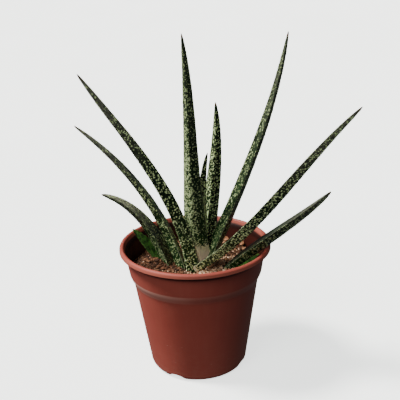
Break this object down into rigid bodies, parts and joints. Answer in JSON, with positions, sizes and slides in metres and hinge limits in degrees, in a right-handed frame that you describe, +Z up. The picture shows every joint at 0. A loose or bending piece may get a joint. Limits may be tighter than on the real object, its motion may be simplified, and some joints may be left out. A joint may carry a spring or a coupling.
{
  "type": "potted gasteria",
  "caption": "Potted succulent: long, keeled, white-speckled leaves fanned from short stems in gritty soil, in a round tapered nursery pot with a rolled lip.",
  "frame": {"origin": "centre of the pot's base, on the surface it stands on", "axes": "+Z up along the pot's axis; +X to the right along the fan of leaves; -Y towards the side that the tallest central leaf leans to"},
  "size_m": [0.2034, 0.12, 0.2692],
  "materials": {
    "pot": "moulded terracotta-coloured plastic, satin, lightly scuffed",
    "soil": "loose potting mix of brown crumbs, bark and tan grit",
    "stem": "dry pale stem, hidden by the leaves",
    "leaf": "dark green waxy skin covered with small raised white spots",
    "leaf_young": "bright green waxy skin with faint pale spots"
  },
  "bodies": {
    "root": {"pot": "pot", "soil": "soil", "stem": "stem", "offset_stem": "stem", "leaf_centre_small": "leaf", "leaf_centre_short": "leaf", "leaf_centre_tall": "leaf", "leaf_right_tall": "leaf", "leaf_left_tall": "leaf", "leaf_right_long": "leaf", "leaf_left_long": "leaf", "leaf_left_low": "leaf", "leaf_left_seedling": "leaf_young", "leaf_offset_long": "leaf", "leaf_offset_short": "leaf_young"}
  },
  "joints": []
}
